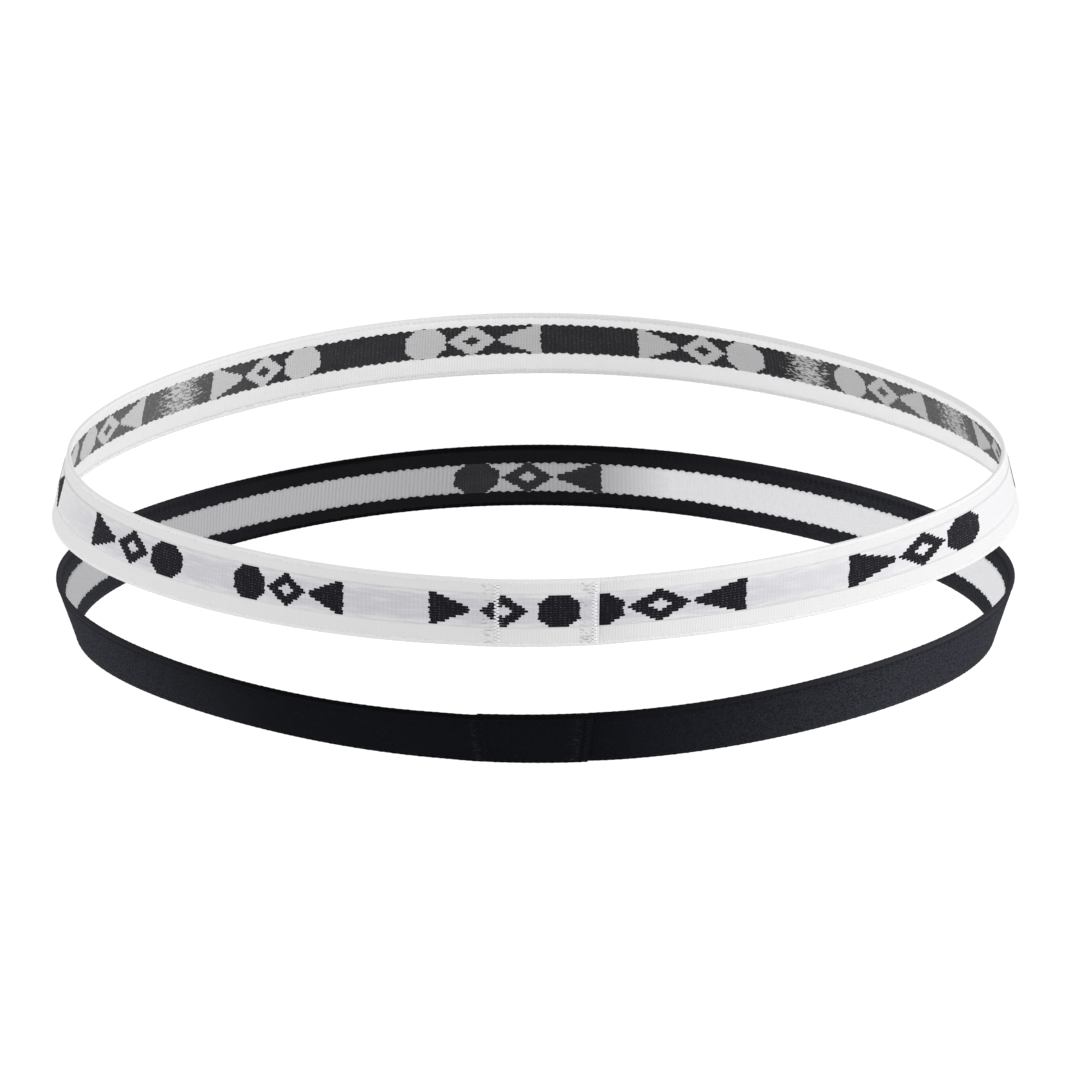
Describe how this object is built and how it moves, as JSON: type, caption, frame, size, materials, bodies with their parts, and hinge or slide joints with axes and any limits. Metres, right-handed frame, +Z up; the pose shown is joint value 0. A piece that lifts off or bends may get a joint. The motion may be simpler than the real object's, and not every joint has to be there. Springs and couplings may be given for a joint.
{
  "type": "sports headband",
  "caption": "Narrow elastic sports headbands, a white one held above a black one, each a woven tape loop lapped and sewn at the front.",
  "frame": {"origin": "under the middle of the pair, on the plane that the black band's lower edge stands on", "axes": "+Z up through both loops; -Y towards the front, where each band's ends are lapped and sewn; +X to the right seen from the front"},
  "size_m": [0.1612, 0.1656, 0.0338],
  "materials": {
    "white_weave": "satin woven yarn",
    "lavender_track": "fine ribbed weave with woven black figures",
    "charcoal_track": "ribbed weave with woven pale figures",
    "black_weave": "satin woven yarn",
    "grey_track": "ribbed weave with one woven black figure",
    "white_rubber": "yarn-covered rubber",
    "black_rubber": "yarn-covered rubber",
    "white_thread": "twisted sewing thread",
    "black_thread": "twisted sewing thread"
  },
  "bodies": {
    "black_band": {"black_outer_face": "black_weave", "black_inner_face": "black_weave", "black_inner_track": "grey_track", "black_upper_selvage": "black_weave", "black_lower_selvage": "black_weave", "black_rubber_thread_1": "black_rubber", "black_rubber_thread_2": "black_rubber", "black_rubber_thread_3": "black_rubber", "black_rubber_thread_4": "black_rubber", "black_left_seam_needle_thread": "black_thread", "black_left_seam_bobbin_thread": "black_thread", "black_right_seam_needle_thread": "black_thread", "black_right_seam_bobbin_thread": "black_thread"},
    "white_band": {"white_outer_face": "white_weave", "white_inner_face": "white_weave", "white_outer_track": "lavender_track", "white_inner_track": "charcoal_track", "white_upper_selvage": "white_weave", "white_lower_selvage": "white_weave", "white_rubber_thread_1": "white_rubber", "white_rubber_thread_2": "white_rubber", "white_rubber_thread_3": "white_rubber", "white_rubber_thread_4": "white_rubber", "white_left_seam_needle_thread": "white_thread", "white_left_seam_bobbin_thread": "white_thread", "white_right_seam_needle_thread": "white_thread", "white_right_seam_bobbin_thread": "white_thread"}
  },
  "joints": [
    {"name": "white_band_lift", "type": "slide", "parent": "black_band", "child": "white_band", "axis": [0, 0, 1], "range_m": [-0.0085, 0.08]}
  ]
}
